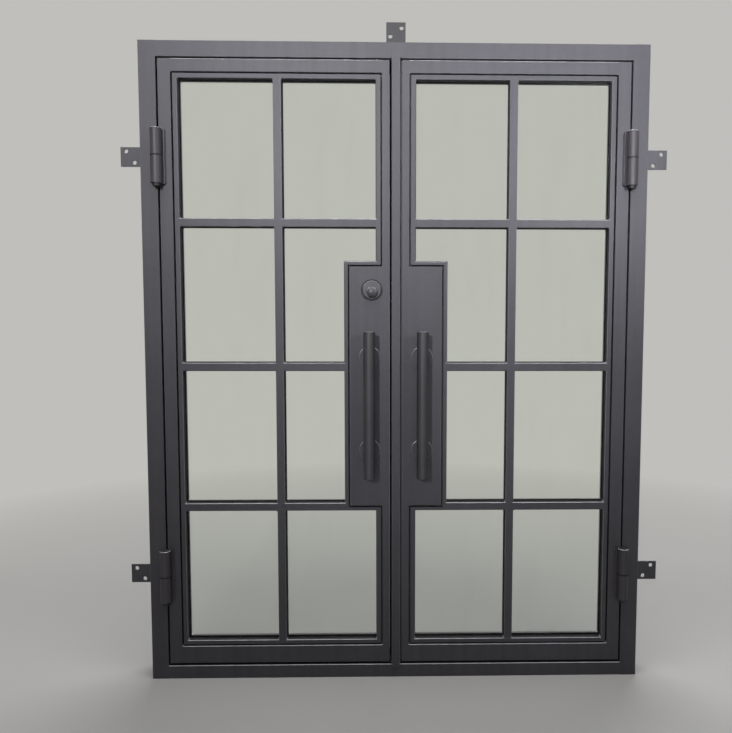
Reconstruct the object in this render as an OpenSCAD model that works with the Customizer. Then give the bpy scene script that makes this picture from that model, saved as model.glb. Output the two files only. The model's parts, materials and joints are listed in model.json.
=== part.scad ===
// French doors: a pair of glazed steel leaves hung in a steel tube frame.
// Sizes are in millimetres. X runs across the opening, Y runs from the pull side
// to the far side and Z is up. The pieces are drawn with the front faces of the frame
// and of the closed leaves on Y = 0, and are then placed with the middle of the leaf
// thickness on Y = 0. The underside of the sill is on Z = 0 and the leaves meet on X = 0.

/* [Frame] */
// Width over the jambs, without the fixing tabs
frame_w = 1650; // [1500:10:1900]
// Height from the underside of the sill to the top of the head
frame_h = 2108; // [2060:4:2300]
// Depth of the jambs, head and sill
frame_d = 120; // [105:1:160]
// Face width of a jamb
jamb_face = 55; // [46:1:75]
// Face height of the head
head_face = 50; // [42:1:75]
// Face height of the sill
sill_face = 45; // [38:1:60]
// Wall thickness of all the tubes
tube_wall = 2.5; // [2:0.25:3]
// Broken edge along the tubes
tube_edge = 1.5; // [1:0.25:2]
// Width of the stops that the leaves close against
stop_w = 20; // [16:1:26]
// Depth of the stops
stop_d = 32; // [24:1:38]

/* [Leaves] */
// Thickness of a leaf
leaf_t = 56; // [52:1:60]
// Gap between a jamb and the hinge edge of its leaf
side_gap = 6; // [4:0.5:8]
// Gap between the head and the leaves
head_gap = 6; // [5:0.5:9]
// Gap between the sill and the leaves
sill_gap = 9; // [8:0.5:11]
// Face width of the hinge stile
hinge_stile = 41; // [34:1:60]
// Face width of the meeting stile
meet_stile = 23; // [20:1:36]
// Face height of the top rail
top_rail = 40; // [34:1:60]
// Face height of the bottom rail
bottom_rail = 59; // [48:1:90]
// Shadow groove between the leaf tubes and the glazed sash
groove = 6; // [4:0.5:8]

/* [Sash and glass] */
// Face width of the strip round the sash
sash_strip = 14; // [13:0.5:20]
// Face width of the glazing bars
muntin = 26; // [20:1:34]
// Depth of the glazing grid on each side of the glass
grid_d = 18; // [15:0.5:19]
// Broken edge of the glazing bars
bar_edge = 1.5; // [1:0.25:2]
// Thickness of one glass pane
pane_t = 5; // [4:0.5:6]

/* [Lock panel] */
// Width of the closed panel, from the meeting edge of the leaf
lock_w = 131; // [120:1:150]
// Height of the closed panel
lock_h = 797; // [740:1:830]
// Height of the deadbolt below the top of the panel
lock_drop = 83; // [66:1:120]
// Face width of the sash strip round the closed panel
lock_strip = 11; // [11:0.5:18]
// Distance from the meeting edge of the leaf to the lock spindle
backset = 58; // [54:1:62]
// Diameter of the deadbolt
bolt_d = 19; // [16:0.5:20]
// Travel of the deadbolt
bolt_throw = 25; // [20:0.5:27]
// Diameter of the rose under the thumbturn
turn_rose_d = 70; // [66:1:76]

/* [Meeting bar] */
// Width of the bar between the leaves
bar_w = 28; // [26:0.5:34]
// How far the bar cover stands in front of the leaves
bar_proud = 10; // [8:0.5:14]
// How far the bar cover laps over the head and the sill
bar_lap = 4; // [2:0.5:8]
// Rounding of the front edges of the bar cover
cover_r = 4.5; // [2:0.5:6]
// Diameter of the top and bottom bolts
rod_d = 12; // [10:0.5:13]
// Length of the top and bottom bolts
rod_l = 240; // [180:5:300]
// Travel of the top and bottom bolts
rod_throw = 20; // [16:0.5:22]

/* [Hinges] */
// Distance of the hinges from the top and bottom of the leaf
hinge_inset = 310; // [220:5:380]
// Diameter of the hinge barrel
barrel_d = 36; // [30:0.5:38]
// Height of one knuckle
knuckle_h = 86; // [60:1:100]
// Distance of the hinge axis in front of the leaf face
axis_out = 22; // [20:0.5:24]
// Diameter of the hinge pin
pin_d = 16; // [12:0.5:18]

/* [Pulls] */
// Diameter of the pull bars
pull_d = 38; // [28:1:42]
// Length of the pull bars
pull_l = 482; // [430:2:510]
// Distance between the posts of a pull
post_pitch = 310; // [240:5:350]
// Diameter of the posts
post_d = 16; // [12:0.5:20]
// Distance of a pull bar axis from the leaf face
pull_out = 64; // [58:1:75]
// Height of the middle of the pulls above the foot of the lock panel
pull_rise = 345; // [300:1:380]
// Diameter of the roses under the posts
rose_d = 70; // [56:1:76]

/* [Fixing tabs] */
// Side length of a square tab
tab_s = 62; // [54:1:80]
// Thickness of the tabs
tab_t = 5; // [4:0.5:8]
// Distance of the side tabs from the top and bottom of the frame
tab_inset = 367; // [250:1:480]
// Diameter of the tab holes
tab_hole = 13; // [9:0.5:15]

/* [Hidden] */
$fn = 72;

// How far a cut runs past the face it opens, and a joined solid into its neighbour.
over = 1;

// Working clearances.
run_fit = 0.05;
thrust_gap = 0.4;
meet_clear = 2.9;
seal_clear = 1;
pass_clear = 1;
spindle_clear = 2;
face_gap = 1;

// Clear opening and leaf edges.
half_w = frame_w / 2 - jamb_face;
head_z = frame_h - head_face;
edge_x = half_w - side_gap;
axis_x = half_w - side_gap / 2;
leaf_z0 = sill_face + sill_gap;
leaf_z1 = head_z - head_gap;
leaf_h = leaf_z1 - leaf_z0;

// The rear corner of a leaf swings past its meeting edge by this much as it opens.
swing = pow(axis_out + leaf_t, 2) / (2 * (axis_x - bar_w / 2 - meet_clear));
bar_gap = ceil(100 * (swing + meet_clear)) / 100;
leaf_w = edge_x - bar_w / 2 - bar_gap;

// Stops and seals behind the leaves.
seal_space = 6;
seal_w = 12;
seal_in = 4;
stop_edge = 1;
upstand_rise = 12;
stop_y = leaf_t + seal_space;
upstand = sill_gap + upstand_rise;

// Sash outline, drawn in leaf coordinates: U from the hinge edge, Z up.
sash_u0 = hinge_stile + groove;
sash_u1 = leaf_w - meet_stile - groove;
sash_z0 = leaf_z0 + bottom_rail + groove;
sash_z1 = leaf_z1 - top_rail - groove;
open_u0 = sash_u0 + sash_strip;
open_u1 = sash_u1 - sash_strip;
open_z0 = sash_z0 + sash_strip;
open_z1 = sash_z1 - sash_strip;
mid_u = (open_u0 + open_u1) / 2;
rows = 4;
pane_h = (open_z1 - open_z0 - (rows - 1) * muntin) / rows;
pitch = pane_h + muntin;

// Lock panel. Its lower sash strip lines up with the lowest glazing bar.
lock_u = leaf_w - lock_w;
lock_z0 = open_z0 + pane_h + lock_strip + groove;
lock_z1 = lock_z0 + lock_h;
notch_u = lock_u - groove;
notch_z0 = lock_z0 - groove;
notch_z1 = lock_z1 + groove;
lock_z = lock_z1 - lock_drop;
mid_y = leaf_t / 2;

// Glass unit.
glass_in = 6;
core_in = 5;
spacer_w = 5;

// Lock.
spindle_u = leaf_w - backset;
spindle_d = 8;
case_t = 26;
case_h = 44;
case_wall = 15;
bolt_hold = 30;
tail_gap = 2;
socket_depth = 2;
socket_gap = 0.5;
tail_u = leaf_w - meet_stile - bolt_hold - bolt_throw;
bore_u = tail_u - tail_gap;
case_u = bore_u - case_wall;
plate_w = 25;
plate_h = 57;
tip_in = 0.5;
tip_edge = 1.5;
turn_rose_t = 8;
rim_w = 5;
rim_t = 3;
disc_d = turn_rose_d - 2 * rim_w;
turn_d = 36;
turn_flat = 30;
rose_rise = 7;
turn_h = 24.5;
key_rose_d = 54;
key_rose_t = 12;
key_taper = 5;
key_plug_d = 16;
key_plug_h = 1.5;
slot_w = 2;
slot_l = 10;
slot_depth = 7.5;

// Meeting bar and its bolts.
rod_y = mid_y;
end_t = 6;
slide_h = 24;
slide_w = 12;
slide_in = 0.5;
rod_in = 1;
strike_h = 80;
strike_clear = 2.5;
strike_way = bolt_d + 2 * strike_clear;
strike_rim = 2.5;
strike_w = strike_way + 2 * strike_rim;
web_d = 36;
keep_l = 36;
keep_w = 26;
keep_t = 2;
keep_way = rod_d + 2 * pass_clear;

// Hinges.
hinge_z = [leaf_z0 + hinge_inset, leaf_z1 - hinge_inset];
seam = 2;
washer_in = 1;
strap_w = 14;
strap_t = 8;
wing_w = 23;
wing_clear = 1;
wing_u = wing_clear + sqrt(pow(barrel_d / 2, 2) - pow(axis_out - strap_t, 2));
barrel_edge = 1.5;
pin_head_d = 26;
pin_head_h = 11;
pin_end = 10;

// Pulls.
pull_u = leaf_w - lock_w / 2;
pull_z = lock_z0 + pull_rise;
pull_edge = 2;
rose_t = 3.5;
rose_edge = 1.5;

// Tabs.
tab_y = tube_edge;
tab_near = 13;
tab_far = 18;

// Door sweep.
sweep_in = 10;
sweep_t = 14;
sweep_drop = 6;

metal = [0.20, 0.19, 0.20];
dark = [0.08, 0.08, 0.08];
steel = [0.55, 0.55, 0.56];
clear = [0.75, 0.85, 0.82, 0.35];

// Section of a flat tube, W wide and D deep, with the edges broken on each side.
module section(w, d, c0, c1) {
    left = c0 > 0 ? [[c0, d], [0, d - c0], [0, c0], [c0, 0]] : [[0, d], [0, 0]];
    right = c1 > 0 ? [[w - c1, 0], [w, c1], [w, d - c1], [w - c1, d]] : [[w, 0], [w, d]];
    polygon(concat(left, right));
}

// Upright tube, open at the foot and capped at the top.
module upright(w, d, h, c0, c1) {
    difference() {
        linear_extrude(h)
            section(w, d, c0, c1);
        translate([tube_wall, tube_wall, -over])
            cube([w - 2 * tube_wall, d - 2 * tube_wall, h + over - tube_wall]);
    }
}

// Level tube along X, open at both ends.
module level(l, d, h, c) {
    difference() {
        rotate([90, 0, 90])
            linear_extrude(l)
                section(d, h, c, c);
        translate([-over, tube_wall, tube_wall])
            cube([l + 2 * over, d - 2 * tube_wall, h - 2 * tube_wall]);
    }
}

// Puts the middle of the leaf thickness over the origin.
module placed() {
    translate([0, -mid_y, 0])
        children();
}

// Puts a piece drawn in leaf coordinates on the left (-1) or right (1) leaf.
module on_leaf(s) {
    if (s < 0)
        translate([-edge_x, 0, 0])
            children();
    else
        mirror([1, 0, 0])
            translate([-edge_x, 0, 0])
                children();
}

// Puts a piece drawn for the left side on the left (-1) or right (1) side.
module on_side(s) {
    if (s < 0)
        children();
    else
        mirror([1, 0, 0])
            children();
}

// Turns a piece drawn for the front of a leaf to its rear.
module rear() {
    translate([0, leaf_t, 0])
        mirror([0, 1, 0])
            children();
}

// Frame.
module jamb(s) {
    on_side(s)
        translate([-frame_w / 2, 0, 0])
            upright(jamb_face, frame_d, frame_h, tube_edge, 0);
}

module head_tube() {
    difference() {
        translate([-half_w, 0, head_z])
            level(2 * half_w, frame_d, head_face, tube_edge);
        translate([-keep_way / 2, rod_y - keep_way / 2, head_z - over])
            cube([keep_way, keep_way, tube_wall + 2 * over]);
    }
}

module sill_tube() {
    difference() {
        union() {
            translate([-half_w, 0, 0])
                level(2 * half_w, frame_d, sill_face, tube_edge);
            translate([stop_w - half_w, stop_y, sill_face - tube_wall])
                cube([2 * (half_w - stop_w), stop_d, upstand + tube_wall]);
        }
        translate([-keep_way / 2, rod_y - keep_way / 2, sill_face - tube_wall - over])
            cube([keep_way, keep_way, tube_wall + 2 * over]);
    }
}

module jamb_stop(s) {
    on_side(s)
        translate([-half_w, stop_y, sill_face])
            upright(stop_w, stop_d, head_z - sill_face, 0, stop_edge);
}

module top_stop() {
    translate([stop_w - half_w, stop_y, head_z - stop_w])
        level(2 * (half_w - stop_w), stop_d, stop_w, stop_edge);
}

module side_seal(s) {
    on_side(s)
        translate([seal_in - half_w, leaf_t + seal_clear, sill_face + upstand])
            cube([seal_w, seal_space - seal_clear, head_z - seal_in - sill_face - upstand]);
}

module top_seal() {
    w = half_w - seal_in - seal_w;
    translate([-w, leaf_t + seal_clear, head_z - seal_in - seal_w])
        cube([2 * w, seal_space - seal_clear, seal_w]);
}

// Fixing tabs, each a square plate with two holes on a diagonal.
module side_tabs(s) {
    on_side(s)
        for (z = [tab_inset, frame_h - tab_inset])
            translate([-frame_w / 2 - tab_s / 2, tab_y, z])
                difference() {
                    translate([-tab_s / 2, 0, -tab_s / 2])
                        cube([tab_s, tab_t, tab_s]);
                    for (k = [-1, 1])
                        translate([-k * tab_near, -over, k * tab_far])
                            rotate([-90, 0, 0])
                                cylinder(d = tab_hole, h = tab_t + 2 * over);
                }
}

module head_tab() {
    translate([0, tab_y, frame_h + tab_s / 2])
        difference() {
            translate([-tab_s / 2, 0, -tab_s / 2])
                cube([tab_s, tab_t, tab_s]);
            for (k = [-1, 1])
                translate([k * tab_far, -over, k * tab_near])
                    rotate([-90, 0, 0])
                        cylinder(d = tab_hole, h = tab_t + 2 * over);
        }
}

// Hinge pieces, drawn for the left side.
module jamb_knuckles(s) {
    on_side(s)
        for (z = hinge_z)
            translate([-axis_x, -axis_out, z - seam / 2 - knuckle_h])
                difference() {
                    union() {
                        cylinder(d = barrel_d, h = knuckle_h);
                        translate([-side_gap / 2 - strap_w, axis_out - strap_t, 0])
                            cube([strap_w, strap_t, knuckle_h]);
                    }
                    translate([0, 0, -over])
                        cylinder(d = pin_d + 2 * run_fit, h = knuckle_h + 2 * over);
                }
}

module leaf_knuckles(s) {
    on_side(s)
        for (z = hinge_z)
            translate([-axis_x, -axis_out, z + seam / 2])
                difference() {
                    union() {
                        cylinder(d = barrel_d, h = knuckle_h - barrel_edge);
                        translate([0, 0, knuckle_h - barrel_edge])
                            cylinder(d1 = barrel_d, d2 = barrel_d - 2 * barrel_edge, h = barrel_edge);
                        translate([side_gap / 2, axis_out - strap_t, 0])
                            cube([wing_w - side_gap / 2, strap_t, knuckle_h]);
                        translate([wing_u, axis_out - strap_t, -knuckle_h - seam])
                            cube([wing_w - wing_u, strap_t, knuckle_h + seam + over]);
                    }
                    translate([0, 0, -over])
                        cylinder(d = pin_d + 2 * run_fit, h = knuckle_h + over - pin_end / 2);
                }
}

module pins() {
    for (s = [-1, 1])
        for (z = hinge_z)
            translate([s * axis_x, -axis_out, z - seam / 2 - knuckle_h]) {
                cylinder(d = pin_d, h = 2 * knuckle_h + seam - pin_end);
                translate([0, 0, barrel_edge - pin_head_h])
                    cylinder(d = pin_head_d, h = pin_head_h - barrel_edge);
                translate([0, 0, -pin_head_h])
                    cylinder(d1 = pin_head_d - 2 * barrel_edge, d2 = pin_head_d, h = barrel_edge);
            }
}

module washers() {
    for (s = [-1, 1])
        for (z = hinge_z)
            translate([s * axis_x, -axis_out, z - seam / 2])
                difference() {
                    cylinder(d = barrel_d - 2 * washer_in, h = seam - thrust_gap);
                    translate([0, 0, -over])
                        cylinder(d = pin_d + 2 * run_fit, h = seam + 2 * over);
                }
}

// Plates in the head and sill that take the top and bottom bolts.
module keeps() {
    for (z = [sill_face, head_z - keep_t])
        translate([0, rod_y, z])
            difference() {
                translate([-keep_l / 2, -keep_w / 2, 0])
                    cube([keep_l, keep_w, keep_t]);
                translate([-keep_way / 2, -keep_way / 2, -over])
                    cube([keep_way, keep_way, keep_t + 2 * over]);
            }
}

// Leaf tubes.
module hinge_post(s) {
    on_leaf(s)
        translate([0, 0, leaf_z0])
            upright(hinge_stile, leaf_t, leaf_h, tube_edge, 0);
}

module meet_post(s) {
    on_leaf(s)
        difference() {
            translate([leaf_w - meet_stile, 0, leaf_z0])
                upright(meet_stile, leaf_t, leaf_h, 0, tube_edge);
            if (s < 0)
                lock_way();
        }
}

// Way for the deadbolt and its face plate through the meeting stile.
module lock_way() {
    translate([leaf_w - meet_stile - over, mid_y, lock_z])
        rotate([0, 90, 0])
            cylinder(d = bolt_d + 2 * pass_clear, h = tube_wall + 2 * over);
    translate([leaf_w - tube_wall, mid_y - plate_w / 2, lock_z - plate_h / 2])
        cube([tube_wall + over, plate_w, plate_h]);
}

module upper_rail(s) {
    on_leaf(s)
        translate([hinge_stile, 0, leaf_z1 - top_rail])
            level(leaf_w - hinge_stile - meet_stile, leaf_t, top_rail, tube_edge);
}

module lower_rail(s) {
    on_leaf(s)
        translate([hinge_stile, 0, leaf_z0])
            level(leaf_w - hinge_stile - meet_stile, leaf_t, bottom_rail, tube_edge);
}

// Closed panel that carries the lock and the pulls.
module lock_box(s) {
    w = lock_w - meet_stile;
    on_leaf(s)
        difference() {
            translate([lock_u, 0, lock_z0])
                linear_extrude(lock_h)
                    section(w, leaf_t, tube_edge, 0);
            translate([lock_u + tube_wall, tube_wall, lock_z0 + tube_wall])
                cube([w, leaf_t - 2 * tube_wall, lock_h - 2 * tube_wall]);
            if (s < 0)
                translate([spindle_u, -over, lock_z])
                    rotate([-90, 0, 0])
                        cylinder(d = spindle_d + 2 * spindle_clear, h = leaf_t + 2 * over);
        }
}

// Outline of the sash, drawn in by E. A negative E draws it out.
module sash_shape(e) {
    polygon([
        [sash_u0 + e, sash_z0 + e],
        [sash_u1 - e, sash_z0 + e],
        [sash_u1 - e, notch_z0 - e],
        [notch_u - e, notch_z0 - e],
        [notch_u - e, notch_z1 + e],
        [sash_u1 - e, notch_z1 + e],
        [sash_u1 - e, sash_z1 - e],
        [sash_u0 + e, sash_z1 - e]
    ]);
}

// Plate of a sash outline between depths YA and YB.
module sash_plate(e, ya, yb) {
    translate([0, yb, 0])
        rotate([90, 0, 0])
            linear_extrude(yb - ya)
                sash_shape(e);
}

// Cut for one pane, with the broken edge of the bars around it.
module pane_cut(ua, ub, za, zb) {
    e = bar_edge;
    f = bar_edge + over;
    y = -over;
    translate([ua, y, za])
        cube([ub - ua, grid_d + 2 * over, zb - za]);
    polyhedron(
        points = [
            [ua - f, y, za - f], [ub + f, y, za - f], [ub + f, y, zb + f], [ua - f, y, zb + f],
            [ua, e, za], [ub, e, za], [ub, e, zb], [ua, e, zb]
        ],
        faces = [
            [0, 3, 2, 1], [4, 5, 6, 7], [0, 1, 5, 4], [1, 2, 6, 5], [2, 3, 7, 6], [3, 0, 4, 7]
        ]
    );
}

// Glazing grid: the strip round the sash and the bars between the panes.
module grid() {
    difference() {
        sash_plate(0, 0, grid_d);
        for (i = [0 : rows - 1])
            pane_cut(open_u0, mid_u - muntin / 2, open_z0 + i * pitch, open_z0 + i * pitch + pane_h);
        for (i = [0 : rows - 1])
            lock_side_cut(open_z0 + i * pitch, open_z0 + i * pitch + pane_h);
    }
}

// Cuts of one row beside the lock panel. The pane goes round the strip of the panel,
// and a sliver narrower than a bar stays closed.
module lock_side_cut(za, zb) {
    low = min(zb, notch_z0 - lock_strip);
    high = max(za, notch_z1 + lock_strip);
    if (low - za > muntin)
        pane_cut(mid_u + muntin / 2, open_u1, za, low);
    if (zb - high > muntin)
        pane_cut(mid_u + muntin / 2, open_u1, high, zb);
    if (low < zb && high > za)
        pane_cut(mid_u + muntin / 2, notch_u - lock_strip, max(za, low), zb);
}

module front_grid(s) {
    on_leaf(s)
        grid();
}

module rear_grid(s) {
    on_leaf(s)
        rear()
            grid();
}

// Channel that carries the sash in the leaf and closes the groove behind its faces.
module sash_core(s) {
    on_leaf(s)
        difference() {
            sash_plate(-groove, grid_d, leaf_t - grid_d);
            sash_plate(core_in, grid_d - over, leaf_t - grid_d + over);
        }
}

module glass(s) {
    on_leaf(s) {
        sash_plate(glass_in, grid_d, grid_d + pane_t);
        sash_plate(glass_in, leaf_t - grid_d - pane_t, leaf_t - grid_d);
    }
}

module spacer(s) {
    on_leaf(s)
        difference() {
            sash_plate(glass_in, grid_d + pane_t, leaf_t - grid_d - pane_t);
            sash_plate(glass_in + spacer_w, grid_d + pane_t - over, leaf_t - grid_d - pane_t + over);
        }
}

module sweep(s) {
    on_leaf(s)
        translate([sweep_in, mid_y - sweep_t / 2, leaf_z0 - sweep_drop])
            cube([leaf_w - 2 * sweep_in, sweep_t, sweep_drop]);
}

// Pull bar with its two posts, drawn for the front of a leaf.
module pull() {
    translate([pull_u, -pull_out, pull_z - pull_l / 2]) {
        cylinder(d1 = pull_d - 2 * pull_edge, d2 = pull_d, h = pull_edge);
        translate([0, 0, pull_edge])
            cylinder(d = pull_d, h = pull_l - 2 * pull_edge);
        translate([0, 0, pull_l - pull_edge])
            cylinder(d1 = pull_d, d2 = pull_d - 2 * pull_edge, h = pull_edge);
    }
    for (k = [-1, 1])
        translate([pull_u, -rose_t, pull_z + k * post_pitch / 2])
            rotate([90, 0, 0])
                cylinder(d = post_d, h = pull_out - rose_t);
}

module front_pull(s) {
    on_leaf(s)
        pull();
}

module rear_pull(s) {
    on_leaf(s)
        rear()
            pull();
}

// Pair of roses, drawn for the front of a leaf.
module roses() {
    for (k = [-1, 1])
        translate([pull_u, 0, pull_z + k * post_pitch / 2])
            rotate([90, 0, 0]) {
                cylinder(d = rose_d, h = rose_t - rose_edge);
                translate([0, 0, rose_t - rose_edge])
                    cylinder(d1 = rose_d, d2 = rose_d - 2 * rose_edge, h = rose_edge);
            }
}

module pull_roses(s) {
    on_leaf(s) {
        roses();
        rear()
            roses();
    }
}

// Lock on the left leaf.
module lock_case() {
    on_leaf(-1)
        difference() {
            translate([case_u, mid_y - case_t / 2, lock_z - case_h / 2])
                cube([leaf_w - meet_stile - case_u, case_t, case_h]);
            translate([bore_u, mid_y, lock_z])
                rotate([0, 90, 0])
                    cylinder(d = bolt_d + 2 * run_fit, h = leaf_w);
            translate([spindle_u, mid_y - case_t / 2 - over, lock_z])
                rotate([-90, 0, 0])
                    cylinder(d = spindle_d + 2 * run_fit, h = socket_depth + over);
        }
}

module face_plate() {
    on_leaf(-1)
        difference() {
            translate([leaf_w - tube_wall, mid_y - plate_w / 2, lock_z - plate_h / 2])
                cube([tube_wall, plate_w, plate_h]);
            translate([leaf_w - tube_wall - over, mid_y, lock_z])
                rotate([0, 90, 0])
                    cylinder(d = bolt_d + 2 * run_fit, h = tube_wall + 2 * over);
        }
}

module deadbolt() {
    l = leaf_w - tip_in - tip_edge - tail_u;
    on_leaf(-1)
        translate([tail_u, mid_y, lock_z])
            rotate([0, 90, 0]) {
                cylinder(d = bolt_d, h = l);
                translate([0, 0, l])
                    cylinder(d1 = bolt_d, d2 = bolt_d - 2 * tip_edge, h = tip_edge);
            }
}

// Rose of the thumbturn. Its middle is a little above the spindle.
module turn_rose() {
    on_leaf(-1)
        translate([spindle_u, 0, lock_z + rose_rise])
            rotate([90, 0, 0])
                difference() {
                    union() {
                        cylinder(d = turn_rose_d, h = rim_t);
                        cylinder(d = disc_d, h = turn_rose_t - rose_edge);
                        translate([0, 0, turn_rose_t - rose_edge])
                            cylinder(d1 = disc_d, d2 = disc_d - 2 * rose_edge, h = rose_edge);
                    }
                    translate([0, -rose_rise, -over])
                        cylinder(d = spindle_d + 2 * run_fit, h = turn_rose_t + 2 * over);
                }
}

// Domed knob with two flats on a spindle that reaches into the case.
module thumbturn() {
    r = turn_d / 2;
    reach = mid_y - case_t / 2 + socket_depth - socket_gap;
    on_leaf(-1)
        translate([spindle_u, 0, lock_z])
            rotate([90, 0, 0]) {
                translate([0, 0, -reach])
                    cylinder(d = spindle_d, h = reach + turn_rose_t + thrust_gap + over);
                translate([0, 0, turn_rose_t + thrust_gap])
                    intersection() {
                        rotate_extrude()
                            polygon([
                                [0, 0],
                                [r * 0.62, 0],
                                [r * 0.62, turn_h * 0.12],
                                [r * 0.86, turn_h * 0.25],
                                [r, turn_h * 0.5],
                                [r * 0.95, turn_h * 0.7],
                                [r * 0.76, turn_h * 0.86],
                                [r * 0.42, turn_h * 0.96],
                                [0, turn_h]
                            ]);
                        translate([-turn_d, -turn_flat / 2, -over])
                            cube([2 * turn_d, turn_flat, turn_h + 2 * over]);
                    }
            }
}

// Key cylinder on the far side, with its tail reaching the case.
module key_cylinder() {
    on_leaf(-1)
        rear()
            translate([spindle_u, 0, lock_z])
                rotate([90, 0, 0])
                    difference() {
                        union() {
                            cylinder(d1 = key_rose_d, d2 = key_rose_d - 2 * key_taper, h = key_rose_t);
                            translate([0, 0, key_rose_t])
                                cylinder(d = key_plug_d, h = key_plug_h);
                            translate([0, 0, case_t / 2 - mid_y])
                                cylinder(d = spindle_d, h = mid_y - case_t / 2 + over);
                        }
                        translate([-slot_w / 2, -slot_l / 2, key_rose_t + key_plug_h - slot_depth])
                            cube([slot_w, slot_l, slot_depth + over]);
                    }
}

// Meeting bar on the right leaf.
module meeting_bar() {
    difference() {
        union() {
            translate([-bar_w / 2, -face_gap, leaf_z0])
                linear_extrude(leaf_h)
                    section(bar_w, leaf_t + face_gap, tube_edge, tube_edge);
            translate([bar_w / 2 - over, mid_y - web_d / 2, leaf_z0])
                cube([bar_gap + over, web_d, leaf_h]);
        }
        translate([tube_wall - bar_w / 2, tube_wall - face_gap, leaf_z0 + end_t])
            cube([bar_w - 2 * tube_wall, leaf_t + face_gap - 2 * tube_wall, leaf_h - 2 * end_t]);
        translate([-bar_w / 2 - over, mid_y - strike_w / 2, lock_z - strike_h / 2])
            cube([tube_wall + over, strike_w, strike_h]);
        rod_way();
        flipped()
            rod_way();
    }
}

// Turns a piece drawn for the top of a leaf to its foot.
module flipped() {
    translate([0, 0, leaf_z0 + leaf_z1])
        mirror([0, 0, 1])
            children();
}

// Guide hole of a bolt and the slot for its finger slide.
module rod_way() {
    translate([0, rod_y, leaf_z1 - end_t - over])
        cylinder(d = rod_d + 2 * run_fit, h = end_t + 2 * over);
    translate([-bar_w / 2 - over, rod_y - slide_w / 2 - pass_clear, leaf_z1 - rod_l - pass_clear])
        cube([tube_wall + 2 * over, slide_w + 2 * pass_clear, slide_h + rod_throw + 2 * pass_clear]);
}

// Bolt with a finger slide, drawn for the top.
module rod() {
    translate([0, rod_y, leaf_z1 - rod_l])
        cylinder(d = rod_d, h = rod_l - rod_in);
    translate([slide_in - bar_w / 2, rod_y - slide_w / 2, leaf_z1 - rod_l])
        cube([bar_w / 2 - slide_in, slide_w, slide_h]);
}

module top_bolt() {
    rod();
}

module bottom_bolt() {
    flipped()
        rod();
}

module meeting_cover() {
    d = bar_proud - face_gap;
    translate([-bar_w / 2, -bar_proud, sill_face - bar_lap])
        linear_extrude(head_z - sill_face + 2 * bar_lap)
            union() {
                translate([0, cover_r])
                    square([bar_w, d - cover_r]);
                translate([cover_r, 0])
                    square([bar_w - 2 * cover_r, d]);
                translate([cover_r, cover_r])
                    circle(r = cover_r);
                translate([bar_w - cover_r, cover_r])
                    circle(r = cover_r);
            }
}

module strike() {
    difference() {
        translate([-bar_w / 2, mid_y - strike_w / 2, lock_z - strike_h / 2])
            cube([tube_wall, strike_w, strike_h]);
        translate([-bar_w / 2 - over, mid_y - strike_way / 2, lock_z - strike_way / 2])
            cube([tube_wall + 2 * over, strike_way, strike_way]);
    }
}

color(metal) placed() jamb(-1);  // left_jamb
color(metal) placed() jamb(1);  // right_jamb
color(metal) placed() head_tube();  // head
color(metal) placed() sill_tube();  // sill
color(metal) placed() jamb_stop(-1);  // left_stop
color(metal) placed() jamb_stop(1);  // right_stop
color(metal) placed() top_stop();  // head_stop
color(dark) placed() side_seal(-1);  // left_seal
color(dark) placed() side_seal(1);  // right_seal
color(dark) placed() top_seal();  // head_seal
color(metal) placed() head_tab();  // top_tab
color(metal) placed() side_tabs(-1);  // left_tabs
color(metal) placed() side_tabs(1);  // right_tabs
color(metal) placed() jamb_knuckles(-1);  // left_jamb_knuckles
color(metal) placed() jamb_knuckles(1);  // right_jamb_knuckles
color(steel) placed() pins();  // hinge_pins
color(steel) placed() washers();  // hinge_washers
color(steel) placed() keeps();  // bolt_keeps
color(metal) placed() hinge_post(-1);  // left_hinge_stile
color(metal) placed() meet_post(-1);  // left_meeting_stile
color(metal) placed() upper_rail(-1);  // left_top_rail
color(metal) placed() lower_rail(-1);  // left_bottom_rail
color(metal) placed() lock_box(-1);  // left_lock_panel
color(dark) placed() sash_core(-1);  // left_sash_core
color(metal) placed() front_grid(-1);  // left_front_grid
color(metal) placed() rear_grid(-1);  // left_rear_grid
color(clear) placed() glass(-1);  // left_glass
color(dark) placed() spacer(-1);  // left_spacer
color(metal) placed() leaf_knuckles(-1);  // left_leaf_knuckles
color(dark) placed() front_pull(-1);  // left_front_pull
color(dark) placed() rear_pull(-1);  // left_rear_pull
color(dark) placed() pull_roses(-1);  // left_roses
color(dark) placed() sweep(-1);  // left_sweep
color(steel) placed() lock_case();
color(steel) placed() face_plate();
color(metal) placed() turn_rose();
color(metal) placed() key_cylinder();
color(metal) placed() thumbturn();
color(steel) placed() deadbolt();
color(metal) placed() hinge_post(1);  // right_hinge_stile
color(metal) placed() meet_post(1);  // right_meeting_stile
color(metal) placed() upper_rail(1);  // right_top_rail
color(metal) placed() lower_rail(1);  // right_bottom_rail
color(metal) placed() lock_box(1);  // right_lock_panel
color(dark) placed() sash_core(1);  // right_sash_core
color(metal) placed() front_grid(1);  // right_front_grid
color(metal) placed() rear_grid(1);  // right_rear_grid
color(clear) placed() glass(1);  // right_glass
color(dark) placed() spacer(1);  // right_spacer
color(metal) placed() leaf_knuckles(1);  // right_leaf_knuckles
color(dark) placed() front_pull(1);  // right_front_pull
color(dark) placed() rear_pull(1);  // right_rear_pull
color(dark) placed() pull_roses(1);  // right_roses
color(dark) placed() sweep(1);  // right_sweep
color(metal) placed() meeting_bar();
color(metal) placed() meeting_cover();
color(steel) placed() strike();  // strike_plate
color(steel) placed() top_bolt();
color(steel) placed() bottom_bolt();
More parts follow.
